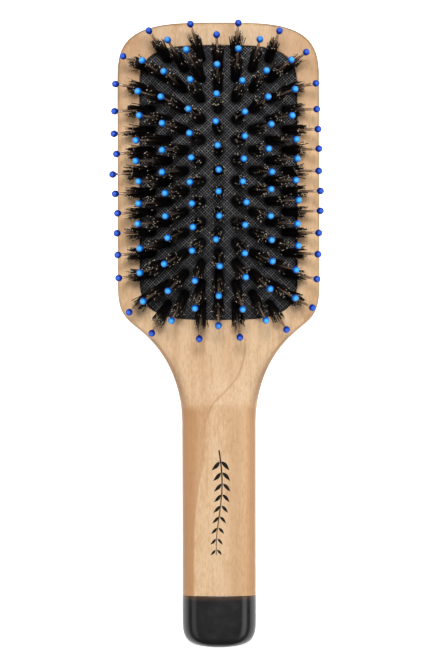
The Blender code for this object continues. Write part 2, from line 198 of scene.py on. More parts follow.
class Shader:
    """A Principled material and the few node helpers that its pattern needs."""

    def __init__(self, name, settings=()):
        self.material = bpy.data.materials.new(name)
        self.material.use_nodes = True
        self.tree = self.material.node_tree
        self.surface = self.tree.nodes["Principled BSDF"]
        for socket, value in dict(settings).items():
            self.set(socket, value)

    def set(self, socket, value):
        self._feed(self.surface.inputs[socket], value)

    def _feed(self, socket, value):
        if isinstance(value, bpy.types.NodeSocket):
            self.tree.links.new(value, socket)
        else:
            socket.default_value = value

    def add(self, kind, inputs=(), **settings):
        node = self.tree.nodes.new(kind)
        for name, value in settings.items():
            setattr(node, name, value)
        for key, value in dict(inputs).items():
            self._feed(node.inputs[key], value)
        return node

    def place(self):
        return self.add("ShaderNodeTexCoord").outputs["Object"]

    def attribute(self, name):
        return self.add("ShaderNodeAttribute", attribute_name=name).outputs["Fac"]

    def split(self, vector):
        node = self.add("ShaderNodeSeparateXYZ", {0: vector})
        return [node.outputs[axis] for axis in "XYZ"]

    def stretch(self, vector, scale):
        inputs = {0: vector, 1: scale}
        return self.add("ShaderNodeVectorMath", inputs, operation="MULTIPLY").outputs[0]

    def math(self, operation, first, second=0.0, third=0.0):
        inputs = {0: first, 1: second, 2: third}
        return self.add("ShaderNodeMath", inputs, operation=operation).outputs[0]

    def times(self, first, *others):
        for other in others:
            first = self.math("MULTIPLY", first, other)
        return first

    def noise(self, vector, scale, detail=2.0, roughness=0.5):
        inputs = {"Vector": vector, "Scale": scale, "Detail": detail, "Roughness": roughness}
        return self.add("ShaderNodeTexNoise", inputs).outputs["Fac"]

    def fade(self, value, low, high, start=0.0, end=1.0):
        inputs = {"Value": value, "From Min": low, "From Max": high,
                  "To Min": start, "To Max": end}
        node = self.add("ShaderNodeMapRange", inputs, interpolation_type="SMOOTHSTEP")
        return node.outputs["Result"]

    def mix(self, share, first, second):
        node = self.add("ShaderNodeMix", data_type="RGBA")
        self._feed(node.inputs["Factor"], share)
        self._feed(node.inputs["A"], first)
        self._feed(node.inputs["B"], second)
        return node.outputs["Result"]

    def bump(self, height, distance, strength):
        inputs = {"Height": height, "Distance": distance, "Strength": strength}
        self.set("Normal", self.add("ShaderNodeBump", inputs).outputs["Normal"])


def rgb(red, green, blue):
    return (red, green, blue, 1.0)


def float_curve(s, value, low, high, points, reach):
    """value in [low, high] through a curve of (value, result) points, its results within ±reach."""
    share = s.add("ShaderNodeMapRange", {"Value": value, "From Min": low, "From Max": high})
    curve = s.add("ShaderNodeFloatCurve", {"Value": share.outputs["Result"]})
    knots = curve.mapping.curves[0].points
    while len(knots) < len(points):
        knots.new(0.5, 0.5)
    for knot, (place, result) in zip(knots, points):
        knot.location = ((place - low) / (high - low), result / reach / 2 + 0.5)
    curve.mapping.update()
    return s.math("MULTIPLY_ADD", curve.outputs[0], 2 * reach, -reach)


def wood_material():
    """Varnished pale beech: straight grain along the brush, one darker band of growth, and painted
    shade on its rounded edges.
    """
    s = Shader("pale_wood", {"Specular IOR Level": 0.30, "Coat Weight": 0.06, "Coat Roughness": 0.3})
    place = s.place()
    x, along, height = s.split(place)
    wander = s.noise(s.stretch(place, (1.0, 0.25, 1.0)), 55.0, 1.0)
    wander = s.math("MULTIPLY_ADD", wander, 0.006, -0.003)
    across = s.math("ADD", x, wander)
    grain = s.add("ShaderNodeCombineXYZ", {"X": across, "Y": along, "Z": height}).outputs[0]

    bands = s.noise(s.stretch(grain, (1.0, 0.06, 0.6)), 150.0, 3.0)
    streaks = s.noise(s.stretch(grain, (1.0, 0.05, 1.0)), 900.0, 2.0, 0.6)
    fibres = s.noise(s.stretch(grain, (1.0, 0.12, 1.0)), 2600.0, 2.0, 0.6)
    pores = s.noise(s.stretch(place, (1.0, 0.26, 1.0)), 1500.0, 2.0, 0.6)
    mottle = s.noise(s.stretch(place, (1.0, 0.55, 1.0)), 95.0, 3.0, 0.55)

    light, tan, deep = rgb(0.775, 0.528, 0.306), rgb(0.655, 0.385, 0.190), rgb(0.40, 0.200, 0.085)
    fleck = rgb(0.86, 0.66, 0.45)
    colour = s.mix(s.times(s.fade(bands, 0.42, 0.72), 0.75), light, tan)
    colour = s.mix(s.times(s.fade(streaks, 0.45, 0.75), 0.50), colour, tan)
    colour = s.mix(s.times(s.fade(mottle, 0.50, 0.72), 0.80), colour, tan)
    colour = s.mix(s.times(s.fade(pores, 0.47, 0.32), 0.34), colour, fleck)
    colour = head_patches(s, colour, x, along, height)
    colour = growth_band(s, colour, x, along, wander)
    colour = s.mix(s.times(s.fade(fibres, 0.50, 0.74), 0.22), colour, deep)
    colour = s.mix(s.times(s.fade(pores, 0.52, 0.68), 0.24), colour, deep)
    # painted shade: the rounded edges darken towards the outline, almost black along the head's top
    # end
    side_rim_shade, top_rim_shade = rgb(0.31, 0.165, 0.090), rgb(0.055, 0.030, 0.016)
    shaded_rim = s.mix(s.fade(along, 0.070, 0.105), side_rim_shade, top_rim_shade)
    s.set("Base Color", s.mix(s.times(s.attribute("edge"), 0.78), colour, shaded_rim))

    s.set("Roughness", s.fade(streaks, 0.2, 0.8, 0.46, 0.58))
    relief = s.math("MULTIPLY_ADD", fibres, 0.6, s.times(pores, 0.4))
    s.bump(relief, 0.00004, 0.6)
    return s.material


def head_patches(s, colour, x, along, height):
    """Brown patches on the head's face, most of all at -X, warmer sides and darker top corners."""
    from_middle = s.math("ABSOLUTE", x)
    patches = s.noise(s.stretch(s.place(), (1.0, 0.7, 1.0)), 120.0)
    to_left = s.fade(x, -0.018, -0.034, 0.0, 0.75)
    on_head = s.times(s.fade(along, -0.016, -0.002), s.fade(height, 0.006, 0.011))
    patch = s.times(s.fade(patches, 0.45, 0.68), s.times(on_head, to_left))
    colour = s.mix(patch, colour, rgb(0.56, 0.295, 0.125))
    # darker brown blotches over the head and the top of the neck
    dark_blotch = s.times(s.fade(patches, 0.56, 0.70, 0.0, 0.48), on_head)
    colour = s.mix(dark_blotch, colour, rgb(0.47, 0.255, 0.115))

    warm = s.times(s.fade(from_middle, 0.028, 0.036), s.fade(along, 0.106, 0.095),
                   s.fade(along, 0.010, 0.020, 0.0, 0.45))
    colour = s.mix(warm, colour, rgb(0.88, 0.55, 0.275))
    corner = s.times(s.fade(from_middle, 0.012, 0.036), s.fade(along, 0.080, 0.112), 0.6)
    return s.mix(corner, colour, rgb(0.56, 0.300, 0.130))


def growth_band(s, colour, x, along, wander):
    """The darker growth, whose edge sweeps from the head's middle to the handle's left side."""
    half = LENGTH / 2
    edge_line = float_curve(s, along, -half, half, (
        (-half, -0.0098), (-0.092, -0.0099), (-0.0756, -0.0095), (-0.0616, -0.0081),
        (-0.0532, -0.0064), (-0.0448, -0.0054), (-0.035, -0.0050), (-0.0285, -0.0030),
        (-0.0256, -0.0005), (-0.0219, 0.0031), (-0.0162, 0.0077), (-0.0122, 0.0093),
        (-0.0056, 0.0105), (0.006, 0.0107), (half, 0.0120)), 0.020)
    beyond = s.math("SUBTRACT", s.math("MULTIPLY_ADD", wander, 0.15, x), edge_line)
    on_handle = s.fade(along, -0.0310, -0.0268, 1.0, 0.0)
    in_band = s.fade(beyond, -0.0006, 0.0003, 1.0, 0.0)
    to_left = s.fade(x, -0.0060, -0.0125, 0.50, 1.0)
    depth = s.math("MULTIPLY_ADD", s.times(on_handle, to_left), 0.80, 0.10)
    depth = s.times(depth, s.fade(along, -0.010, 0.005, 1.0, 0.0))
    colour = s.mix(s.times(in_band, depth), colour, rgb(0.525, 0.262, 0.108))

    to_right = s.fade(x, 0.0005, 0.0060, 0.0, 0.32)
    right_side = s.math("MULTIPLY_ADD", s.fade(x, 0.0102, 0.0128), 0.6, to_right)
    right_side = s.times(right_side, s.fade(along, -0.026, -0.031))
    colour = s.mix(right_side, colour, rgb(0.60, 0.315, 0.138))
    stripe = s.times(s.fade(x, 0.0030, 0.0065), s.fade(x, 0.0095, 0.0078),
                     s.fade(along, -0.024, -0.040, 0.0, 0.35))
    colour = s.mix(stripe, colour, rgb(0.58, 0.335, 0.165))
    line = s.times(s.fade(s.math("ABSOLUTE", beyond), 0.0001, 0.0009, 0.60, 0.0),
                   s.fade(along, -0.040, -0.028), s.fade(along, 0.004, -0.006))
    return s.mix(line, colour, rgb(0.50, 0.255, 0.105))


def lacquer_material():
    """Black dipped lacquer: satin gloss, brownish where the coat starts."""
    s = Shader("black_lacquer", {"Specular IOR Level": 0.5})
    place = s.place()
    along = s.split(place)[1]
    sag = s.noise(s.stretch(place, (1.0, 0.5, 1.0)), 160.0, 1.0)
    scuffs = s.noise(place, 300.0, 3.0)
    black, scuffed = rgb(0.0066, 0.0060, 0.0066), rgb(0.0088, 0.0082, 0.0088)
    brownish = rgb(0.085, 0.042, 0.020)
    colour = s.mix(s.fade(scuffs, 0.35, 0.8), black, scuffed)
    # brownish over the first few millimetres below the dip line
    near_dip = s.fade(along, DIP_LINE_Y - 0.0024, DIP_LINE_Y - 0.0002, 0.0, 0.75)
    s.set("Base Color", s.mix(near_dip, colour, brownish))
    s.set("Roughness", s.fade(scuffs, 0.3, 0.8, 0.22, 0.27))
    s.bump(sag, 0.0001, 0.2)
    return s.material


def cushion_material():
    """Black rubber faced with an open cloth whose threads run on both diagonals."""
    s = Shader("cushion_rubber", {"Specular IOR Level": 0.25})
    place = s.place()
    x, y, _ = s.split(place)
    wobble = s.times(s.noise(place, 260.0), 2.6)
    thread_turn = 2 * math.pi / THREAD_PITCH / math.sqrt(2)
    threads = []
    for sign in (1.0, -1.0):
        diagonal = s.math("MULTIPLY_ADD", y, sign, x)
        wave = s.math("COSINE", s.math("MULTIPLY_ADD", diagonal, thread_turn, wobble))
        every_other = s.math("COSINE", s.math("MULTIPLY_ADD", diagonal, thread_turn / 2, wobble))
        strength = s.math("MULTIPLY_ADD", every_other, 0.3, 0.7)
        threads.append(s.times(s.fade(wave, 0.55, 0.98), strength))
    weave = s.math("MAXIMUM", *threads)
    worn_thread, fresh_thread = rgb(0.09, 0.09, 0.095), rgb(0.26, 0.255, 0.265)
    black, fuzzy, shaded = rgb(0.004, 0.004, 0.005), rgb(0.016, 0.016, 0.017), rgb(0.003, 0.003, 0.004)
    thread = s.mix(s.fade(s.noise(place, 170.0, 3.0, 0.6), 0.30, 0.70), worn_thread, fresh_thread)
    base = s.mix(s.fade(s.noise(place, 2600.0, 2.0, 0.6), 0.45, 0.8), black, fuzzy)
    colour = s.mix(weave, base, thread)
    # painted shade on the cloth round each tuft
    s.set("Base Color", s.mix(s.attribute("hollow"), colour, shaded))
    s.set("Roughness", s.fade(weave, 0.0, 1.0, 0.85, 0.65))
    s.bump(weave, 0.00012, 0.8)
    return s.material


def bristle_material():
    """Dark bristle, brown-black along the hair; the coarse ones end in a straw-coloured cut."""
    s = Shader("dark_bristle", {"Roughness": 0.50, "Specular IOR Level": 0.2})
    along, tone = s.attribute("along"), s.attribute("tone")
    mottle = s.noise(s.place(), 1800.0)
    black, dark, brown = rgb(0.004, 0.003, 0.004), rgb(0.012, 0.008, 0.007), rgb(0.030, 0.016, 0.010)
    straw, cream = rgb(0.86, 0.74, 0.50), rgb(0.98, 0.93, 0.80)
    towards_tip = s.times(s.fade(along, 0.70, 0.98), s.fade(tone, 0.15, 0.6))
    hair = s.mix(towards_tip, s.mix(mottle, black, dark), brown)
    cut = s.times(s.fade(along, 0.991, 0.998), s.fade(tone, 0.75, 0.95))
    s.set("Base Color", s.mix(cut, hair, s.mix(mottle, straw, cream)))
    return s.material


def nylon_material():
    """Clear nylon shaft: see-through along its top; painted shade makes it brownish and less clear
    where the wall faces sideways, as seen edge-on from above.
    """
    s = Shader("clear_nylon", {"Roughness": 0.12, "IOR": 1.50, "Specular IOR Level": 0.25})
    clear, brownish = rgb(0.66, 0.52, 0.42), rgb(0.085, 0.048, 0.030)
    # painted shade: "wall" darkens and clouds the sides of the shaft
    wall = s.math("ADD", s.attribute("wall"),
                  s.math("MULTIPLY_ADD", s.noise(s.place(), 900.0), 0.2, -0.1))
    s.set("Base Color", s.mix(s.fade(wall, 0.35, 0.80), clear, brownish))
    s.set("Transmission Weight", s.fade(wall, 0.40, 0.85, 0.85, 0.10))
    return s.material


def ball_material():
    """Blue resin ball: painted highlight towards the side half-way between its pole and straight up,
    painted shade towards its rim, and painted shade, a deeper blue, on the outermost pins.
    """
    s = Shader("blue_resin", {"Roughness": 0.25, "Specular IOR Level": 0.22})
    # painted shade: "outer" gives the outermost balls a deeper blue
    outer = s.attribute("outer")
    cloud = s.noise(s.place(), 700.0)
    # painted light: "pole" runs from the painted shade of the rim to the painted highlight in the
    # centre
    pole = s.math("ADD", s.attribute("pole"), s.math("MULTIPLY_ADD", cloud, 0.08, -0.04))
    centre = s.mix(outer, rgb(0.060, 0.50, 0.98), rgb(0.035, 0.130, 0.70))
    middle = s.mix(outer, rgb(0.009, 0.215, 0.76), rgb(0.006, 0.040, 0.38))
    shaded_rim = s.mix(outer, rgb(0.004, 0.065, 0.36), rgb(0.003, 0.012, 0.17))
    colour = s.mix(s.fade(pole, 0.68, 0.88), shaded_rim, middle)
    s.set("Base Color", s.mix(s.fade(pole, 0.90, 0.995), colour, centre))
    return s.material


def print_material():
    """Brown-black ink, thin enough for the grain to break it up a little."""
    s = Shader("printed_ink", {"Roughness": 0.7, "Specular IOR Level": 0.2})
    ink, worn_ink = rgb(0.008, 0.005, 0.004), rgb(0.030, 0.017, 0.010)
    wear = s.noise(s.stretch(s.place(), (1.0, 0.2, 1.0)), 2600.0)
    s.set("Base Color", s.mix(s.fade(wear, 0.55, 0.8), ink, worn_ink))
    return s.material


# ---------------------------------------------------------------- mesh helpers

def smoothstep(value):
    value = min(max(value, 0.0), 1.0)
    return value * value * (3.0 - 2.0 * value)


def superellipse(fraction, power):
    """Half width, of 1, at this fraction of the way to the end."""
    return max(1.0 - min(fraction, 1.0) ** power, 0.0) ** (1.0 / power)


def resample(points, count):
    """The closed plan outline as count points, evenly spaced along it."""
    loop = np.array([(p[0], p[1]) for p in points] + [points[0][:2]])
    length = np.concatenate([[0.0], np.cumsum(np.hypot(*np.diff(loop, axis=0).T))])
    wanted = np.linspace(0.0, length[-1], count, endpoint=False)
    return np.stack([np.interp(wanted, length, loop[:, axis]) for axis in (0, 1)], axis=1)


def skin(bm, first, second):
    """Quads between two rings of vertices."""
    count = len(first)
    for i in range(count):
        j = (i + 1) % count
        bm.faces.new((first[i], first[j], second[j], second[i]))


def link_object(name, data):
    obj = bpy.data.objects.new(name, data)
    bpy.context.scene.collection.objects.link(obj)
    return obj


def finish_mesh(name, bm, material, sharp_angle=FACE_ANGLE):
    bmesh.ops.recalc_face_normals(bm, faces=bm.faces)
    mesh = bpy.data.meshes.new(name)
    bm.to_mesh(mesh)
    bm.free()
    mesh.materials.append(material)
    mesh.shade_smooth()
    mesh.set_sharp_from_angle(angle=math.radians(sharp_angle))
    return link_object(name, mesh)


def loft(name, rings, material):
    """One closed body through a list of rings of points, capped at both ends."""
    bm = bmesh.new()
    loops = [[bm.verts.new(point) for point in ring] for ring in rings]
    for first, second in zip(loops, loops[1:]):
        skin(bm, first, second)
    bm.faces.new(loops[0])
    bm.faces.new(loops[-1])
    return finish_mesh(name, bm, material)


def apply_modifiers(obj):
    """Keep the object's evaluated mesh as its own and drop the modifiers."""
    graph = bpy.context.evaluated_depsgraph_get()
    mesh = bpy.data.meshes.new_from_object(obj.evaluated_get(graph))
    old = obj.data
    obj.modifiers.clear()
    obj.data = mesh
    bpy.data.meshes.remove(old)


# ---------------------------------------------------------------- paddle

def shoulder_curve(steps=40):
    """Points (half width, y) down one shoulder, from the head's side to the handle."""
    out, up_turn, down_turn, up_neck = SHOULDER_HANDLES
    turn = Vector((*SHOULDER_TURN, 0.0))
    along = Vector((-math.cos(SHOULDER_SLOPE), -math.sin(SHOULDER_SLOPE), 0.0))
    top = Vector((HEAD_HALF_WIDTH, SHOULDER_TOP_Y, 0.0))
    neck = Vector((HANDLE_HALF_WIDTH, NECK_Y, 0.0))
    down = Vector((0.0, -1.0, 0.0))
    convex = interpolate_bezier(top, top + down * out, turn - along * up_turn, turn, steps)
    hollow = interpolate_bezier(turn, turn + along * down_turn, neck - down * up_neck, neck, steps)
    return [(point.x, point.y) for point in convex[:-1] + hollow]


SHOULDER = shoulder_curve()


def half_width(y):
    """Half the paddle's width at y."""
    head_end = LENGTH / 2 - HEAD_END_LENGTH
    handle_end = -LENGTH / 2 + HANDLE_END_LENGTH
    y = min(max(y, -LENGTH / 2 + END_FLAT), LENGTH / 2 - END_FLAT)
    if y > head_end:
        return HEAD_HALF_WIDTH * superellipse((y - head_end) / HEAD_END_LENGTH, HEAD_END_POWER)
    if y >= SHOULDER_TOP_Y:
        return HEAD_HALF_WIDTH
    if y > NECK_Y:
        return float(np.interp(-y, [-p[1] for p in SHOULDER], [p[0] for p in SHOULDER]))
    width = HANDLE_HALF_WIDTH + (y - NECK_Y) * HANDLE_TAPER
    if y < handle_end:
        width *= superellipse((handle_end - y) / HANDLE_END_LENGTH, HANDLE_END_POWER)
    return width


def round_over(distance, radius):
    """How far a rounded edge has fallen at this distance from the end."""
    reach = max(radius - max(distance, END_FLAT), 0.0)
    return radius - math.sqrt(radius * radius - reach * reach)


def section_shape(y, inset=0.0):
    """Half width, lowest and highest z, crown and edge radius of the paddle at y."""
    blend = (BLEND_START_Y - y) / (BLEND_START_Y - BLEND_END_Y)
    blend = min(max(blend, 0.0), 1.0) ** 2
    half = half_width(y) - inset
    fall = max(round_over(LENGTH / 2 - y, HEAD_EDGE_RADIUS),
               round_over(y + LENGTH / 2, HANDLE_END_RADIUS))
    low = blend * HANDLE_LIFT + fall + inset
    high = HEAD_THICKNESS + blend * (HANDLE_THICKNESS - HEAD_THICKNESS) - fall - inset
    crown = blend * HANDLE_CROWN * (high - low) / HANDLE_THICKNESS
    radius = HEAD_EDGE_RADIUS + blend * (HANDLE_EDGE_RADIUS - HEAD_EDGE_RADIUS)
    radius = min(radius, (high - low) / 2 - crown - LEAST_SIDE, half - LEAST_FACE)
    return half, low, high, crown, radius


def section(y, inset=0.0, arc_steps=8, face_steps=6):
    """Ring of points across the paddle at y, shrunk all round by inset."""
    half, low, high, crown, radius = section_shape(y, inset)
    quarter = [(half - radius + radius * math.cos(angle), radius * math.sin(angle) - radius)
               for angle in (math.pi / 2 * i / arc_steps for i in range(arc_steps + 1))]
    quarter += [((half - radius) * (1 - i / face_steps), 0.0) for i in range(1, face_steps)]
    upper = [(x, high + drop - crown * (x / half) ** 2) for x, drop in quarter]
    upper.append((0.0, high))
    upper += [(-x, z) for x, z in upper[-2::-1]]
    lower = [(x, low + high - z) for x, z in reversed(upper)]
    return [(x, y, z) for x, z in upper + lower]


def handle_end_stations(inset, steps=20):
    """Where the sections of the handle's end are taken, closer together towards its tip."""
    start = -LENGTH / 2 + HANDLE_END_LENGTH
    tip = HANDLE_END_LENGTH - inset
    return [start - tip * math.sin(math.pi / 2 * i / steps) for i in range(steps + 1)]


def pocket_outline(grow, z, corner_steps=24):
    """Outline of the cushion's pocket, moved out by grow, at height z."""
    width = POCKET_HALF_WIDTH + grow
    end = POCKET_END_LENGTH + grow
    straight = POCKET_HALF_LENGTH - POCKET_END_LENGTH
    quarter = []
    for i in range(corner_steps + 1):
        angle = math.pi / 2 * i / corner_steps
        quarter.append((width * math.cos(angle) ** (2 / POCKET_END_POWER),
                        straight + end * math.sin(angle) ** (2 / POCKET_END_POWER)))
    half = quarter + [(-x, y) for x, y in quarter[-2::-1]]
    ring = half + [(-x, -y) for x, y in half]
    return [(x, POCKET_Y + y, z) for x, y in ring]


def paint_edge_shade(mesh):
    """Attribute "edge", painted shade: 0 on the faces, 1 on the outer side of the paddle."""
    edge = mesh.attributes.new("edge", "FLOAT", "POINT")
    values = []
    for vert in mesh.vertices:
        x, y, z = vert.co
        slope = (half_width(y + MM) - half_width(y - MM)) / (2 * MM)
        inset = (half_width(y) - abs(x)) / math.hypot(1.0, slope)
        inset = min(inset, LENGTH / 2 - abs(y))
        on_bar = smoothstep((EDGE_TURN_Y - y) / EDGE_TURN_SPAN)
        reach = HEAD_SHADE_REACH + on_bar * (HANDLE_SHADE_REACH - HEAD_SHADE_REACH)
        reach += NECK_SHADE_EXTRA * max(0.0, 1.0 - abs(y - NECK_SHADE_Y) / NECK_SHADE_SPAN)
        near_top = smoothstep((z - HEAD_THICKNESS + SHADE_DEPTH) / (SHADE_DEPTH / 2))
        depth = SHADE_BELOW + (1.0 - SHADE_BELOW) * near_top
        values.append(smoothstep(1.0 - inset / reach) * depth)
    edge.data.foreach_set("value", values)


def make_paddle(material):
    """Head and handle, with the routed pocket and its groove cut in."""
    head_end = LENGTH / 2 - HEAD_END_LENGTH
    stations = [head_end + HEAD_END_LENGTH * math.sin(math.pi / 2 * i / HEAD_END_STEPS)
                for i in range(HEAD_END_STEPS, -1, -1)]
    stations += sorted({y for _, y in SHOULDER} | {BLEND_START_Y, BLEND_END_Y}, reverse=True)
    stations += list(np.linspace(NECK_Y, DIP_LINE_Y, HANDLE_STEPS)[1:])
    core = DIP_WALL - DIP_PROUD
    rings = [section(y) for y in stations]
    rings += [section(y, core) for y in [DIP_LINE_Y] + handle_end_stations(core)]
    body = loft("paddle_wood", rings, material)

    walls = [(0.0, POCKET_FLOOR_Z), (0.0, GROOVE_LOW_Z), (GROOVE_DEPTH, GROOVE_LOW_Z),
             (GROOVE_DEPTH, GROOVE_HIGH_Z), (0.0, GROOVE_HIGH_Z)]
    walls += [(out, HEAD_THICKNESS + up) for out, up in POCKET_RIM]
    walls.append((POCKET_RIM[-1][0], HEAD_THICKNESS * 1.5))
    cutter = loft("pocket_cutter", [pocket_outline(out, z) for out, z in walls], material)
    cut = body.modifiers.new("pocket", "BOOLEAN")
    cut.operation = "DIFFERENCE"
    cut.solver = "EXACT"
    cut.object = cutter
    apply_modifiers(body)
    bpy.data.objects.remove(cutter)
    body.data.set_sharp_from_angle(angle=math.radians(WOOD_ANGLE))
    even = body.modifiers.new("even_normals", "WEIGHTED_NORMAL")
    even.keep_sharp = True
    even.weight = 80
    paint_edge_shade(body.data)
    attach(body, "paddle")
    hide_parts("wood_body")


def make_lacquer_end(material):
    """The dipped coat: a rounded bead at the dip line, the outer skin, and a hidden inner skin."""
    outer = [section(DIP_LINE_Y - below, inset) for below, inset in DIP_BEAD]
    outer += [section(y, -DIP_PROUD) for y in handle_end_stations(0.0)[1:]]
    wall = DIP_WALL - DIP_PROUD - DIP_GAP
    inner = [section(y, wall) for y in [DIP_LINE_Y] + handle_end_stations(wall)]
    coat = loft("handle_lacquer", outer[::-1] + inner, material)
    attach(coat, "paddle")
    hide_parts("handle_dip")


# ---------------------------------------------------------------- cushion

def crown_height(x, y):
    """Height of the cushion's crown above its foot."""
    across = abs(x) / (POCKET_HALF_WIDTH - FOOT_INSET)
    along = abs(y - POCKET_Y) / (POCKET_HALF_LENGTH - FOOT_INSET)
    fullness_x = max(1.0 - across ** CROWN_POWER_X, 0.0)
    fullness_y = max(1.0 - along ** CROWN_POWER_Y, 0.0)
    return CROWN_HEIGHT * fullness_x * fullness_y


def cushion_z(x, y):
    return FOOT_Z + crown_height(x, y)


def levelled(share):
    """The share itself, but levelling off as it comes up to 1."""
    return share * (1.0 + SPLAY_LEVEL - SPLAY_LEVEL * abs(share) ** SPLAY_LEVEL_POWER)


def splay_direction(x, y, scatter):
    """Direction in which the tuft rooted at (x, y) points."""
    across = x / (ROW_PITCH * (ROW_COUNT // 2))
    along = (y - FIELD_Y) / (TUFT_PITCH * (LONG_ROW // 2))
    share = 1.0 - SPLAY_END_LOSS * abs(along) ** SPLAY_END_POWER
    lean_x = SPLAY_ACROSS * levelled(across) * share
    lean_x += SPLAY_TWIST * along + SPLAY_SIDE
    share = 1.0 - SPLAY_SIDE_LOSS * abs(across) ** SPLAY_SIDE_POWER
    share += SPLAY_CORNER_GAIN * abs(across * along) ** SPLAY_CORNER_POWER
    lean_y = SPLAY_ALONG * levelled(along) * abs(along) * share
    lean_y += SPLAY_TILT * (1.0 - 0.5 * abs(along) - 0.5 * across)
    lean_x += scatter.gauss(0.0, SPLAY_SCATTER)
    lean_y += scatter.gauss(0.0, SPLAY_SCATTER)
    out_x, out_y = lean_x / PIN_LENGTH, lean_y / PIN_LENGTH
    return Vector((out_x, out_y, math.sqrt(1.0 - out_x ** 2 - out_y ** 2)))


def tuft_layout():
    """Rows of (base point on the cushion, direction), the rows counted from -X to +X."""
    scatter = random.Random(SPLAY_SEED)
    rows = []
    for row in range(ROW_COUNT):
        offset = row - ROW_COUNT // 2
        count = LONG_ROW if offset % 2 else SHORT_ROW
        x = offset * ROW_PITCH
        tufts = []
        for k in range(count):
            y = FIELD_Y + (k - (count - 1) / 2) * TUFT_PITCH
            tufts.append((Vector((x, y, cushion_z(x, y))), splay_direction(x, y, scatter)))
        rows.append(tufts)
    return rows


def make_cushion(tufts, material):
    """Crowned sheet drawn in at every tuft, with its lip held in the pocket's groove."""
    around, inward = 260, 80
    foot = resample(pocket_outline(-FOOT_INSET, 0.0, corner_steps=60), around)
    lip = resample(pocket_outline(LIP_REACH, 0.0, corner_steps=60), around)
    centre = np.array([0.0, POCKET_Y])
    bases = np.array([(base.x, base.y) for row in tufts for base, _ in row])

    bm = bmesh.new()
    hollow = bm.verts.layers.float.new("hollow")
    loops = [[bm.verts.new((x, y, FOOT_Z)) for x, y in lip]]
    for step in range(inward):
        share = 1.0 - step / inward
        loop = []
        for x, y in centre + (foot - centre) * share:
            height = cushion_z(x, y) if step else FOOT_Z
            apart = (bases[:, 0] - x) ** 2 + (bases[:, 1] - y) ** 2
            pulled = float(np.exp(-apart / DIMPLE_RADIUS ** 2).sum())
            loop.append(bm.verts.new((x, y, height - DIMPLE_DEPTH * pulled)))
        loops.append(loop)
    for first, second in zip(loops, loops[1:]):
        skin(bm, first, second)
    top = bm.verts.new((centre[0], centre[1], cushion_z(*centre)))
    # painted shade: "hollow" is 1 on the cloth next to a tuft, where the tufts shade it, fading out
    # further off
    for vert in bm.verts:
        apart = np.hypot(bases[:, 0] - vert.co.x, bases[:, 1] - vert.co.y).min()
        vert[hollow] = smoothstep((TUFT_SHADE_REACH - apart) / (TUFT_SHADE_REACH - TUFT_ROOT))
    last = loops[-1]
    for i in range(around):
        bm.faces.new((last[i], last[(i + 1) % around], top))
    cushion = finish_mesh("cushion_face", bm, material, SOFT_ANGLE)
    if cushion.data.polygons[0].normal.z < 0.0:
        cushion.data.flip_normals()
    sheet = cushion.modifiers.new("sheet", "SOLIDIFY")
    sheet.thickness = SHEET_THICKNESS
    sheet.offset = -1.0
    apply_modifiers(cushion)
    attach(cushion, "paddle")
    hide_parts("cushion_membrane")
    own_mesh(cushion)


# ---------------------------------------------------------------- tufts and pins

def side_axes(axis):
    side = (Vector((1.0, 0.0, 0.0)) - axis * axis.x).normalized()
    return side, axis.cross(side)


def tuft_filaments(base, axis, rng):
    """One tuft's bristles: centre lines (filaments, stops, 3), radii and tones."""
    stops = np.array(FILAMENT_STOPS)
    side, other = (np.array(v) for v in side_axes(axis))
    axis, base = np.array(axis), np.array(base)
    order = np.arange(FILAMENTS) + 0.5
    radius = TUFT_ROOT * np.sqrt(TUFT_CORE + (1.0 - TUFT_CORE) * order / FILAMENTS)
    angle = order * GOLDEN_ANGLE + rng.uniform(0, 2 * math.pi)
    root = radius[:, None] * np.stack([np.cos(angle), np.sin(angle)], axis=1)

    turn = 2 * math.pi * (np.arange(CLUMPS) + rng.uniform(*CLUMP_TURN, CLUMPS)) / CLUMPS
    reach = TUFT_ROOT * TUFT_FLARE * rng.uniform(*CLUMP_REACH, CLUMPS)
    centres = reach[:, None] * np.stack([np.cos(turn), np.sin(turn)], axis=1)
    apart = np.linalg.norm(root[:, None] * TUFT_FLARE - centres[None], axis=2)
    nearest = np.argmin(apart, axis=1)
    coarse = rng.random(FILAMENTS) < COARSE_SHARE
    pull = np.where(coarse, COARSE_PULL, rng.uniform(*CLUMP_PULL, FILAMENTS))[:, None]
    tip = root * TUFT_FLARE * (1 - pull) + centres[nearest] * pull
    tip *= np.where(coarse, rng.uniform(*COARSE_REACH, FILAMENTS), 1.0)[:, None]
    tip += rng.normal(0.0, TIP_SCATTER, (FILAMENTS, 2))
    stray = rng.random(FILAMENTS) < STRAY_SHARE
    tip[stray] *= rng.uniform(*STRAY_REACH, (stray.sum(), 1))

    across = base[0] / (ROW_PITCH * (ROW_COUNT // 2))
    whole = TUFT_LENGTH * (1.0 - SHORTER_TO_RIGHT * across - SHORTER_TO_SIDES * across ** 2)
    uneven = rng.normal(1.0, CLUMP_UNEVEN, CLUMPS)[nearest]
    uneven = uneven * rng.normal(1.0, FILAMENT_UNEVEN, FILAMENTS)
    length = whole * uneven.clip(*LENGTH_LIMITS)

    share = (stops ** FLARE_POWER)[None, :, None]
    plan = root[:, None] * (1 - share) + tip[:, None] * share
    lines = base + plan[:, :, :1] * side + plan[:, :, 1:] * other
    lines = lines + (stops[None, :, None] * length[:, None, None] - TUFT_DEPTH) * axis
    thick = np.where(coarse, COARSE_RADIUS, FILAMENT_RADIUS)
    taper = np.where(coarse, 0.0, FILAMENT_TAPER)
    radii = thick[:, None] * (1.0 - taper[:, None] * stops[None, :] ** TAPER_POWER)
    tones = np.where(coarse, 1.0, rng.uniform(*FINE_TONES, FILAMENTS))
    return lines, radii, tones


